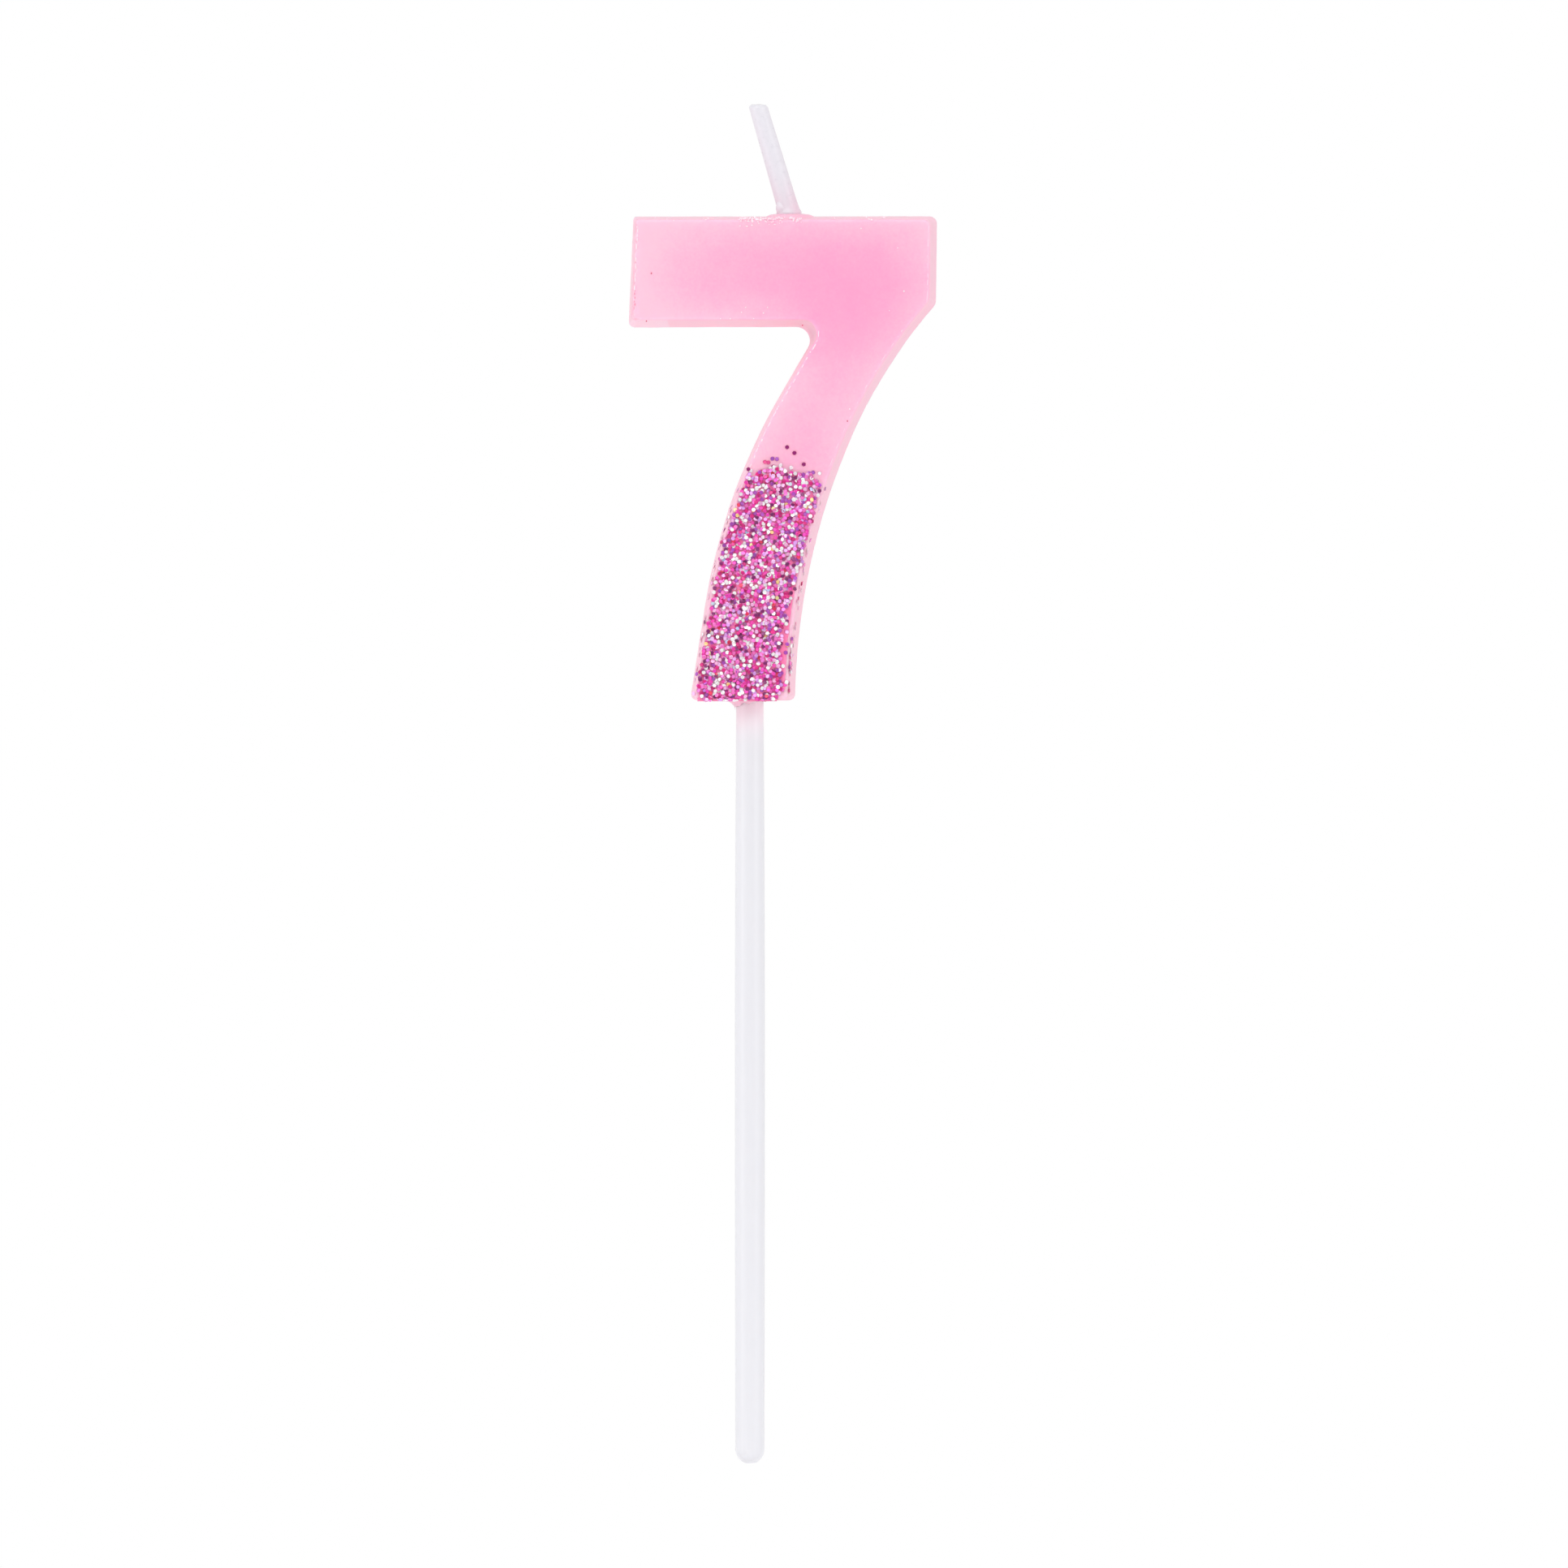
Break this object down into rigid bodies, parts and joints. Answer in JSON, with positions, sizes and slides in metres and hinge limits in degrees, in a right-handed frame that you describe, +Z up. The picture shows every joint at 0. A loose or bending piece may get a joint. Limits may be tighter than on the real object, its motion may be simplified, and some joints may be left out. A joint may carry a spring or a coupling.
{
  "type": "number birthday candle",
  "caption": "Numeral seven birthday candle in pink wax, with a leaning waxed wick, a glittered lower stem and a long round stick that pushes into a cake.",
  "frame": {"origin": "on the stick's axis, at the shoulder where the stick leaves the numeral's foot", "axes": "+Z up along the stick towards the wick, +X to the right of someone reading the numeral, and -Y out of the glittered front face"},
  "size_m": [0.0318, 0.0084, 0.1396],
  "materials": {
    "pink_wax": "satin translucent paraffin wax",
    "cotton_yarn": "matte spun cotton",
    "wick_wax": "satin translucent white wax",
    "stick_plastic": "satin white moulded plastic",
    "clear_glue": "glossy clear glue, deep pink over the wax",
    "glitter_foil": "mirror-bright coloured film"
  },
  "bodies": {
    "root": {"digit_wax": "pink_wax", "wick_yarns": "cotton_yarn", "wick_coat": "wick_wax", "stick": "stick_plastic", "glitter_glue": "clear_glue", "front_glitter": "glitter_foil", "edge_glitter": "glitter_foil", "stray_glitter": "glitter_foil"}
  },
  "joints": []
}
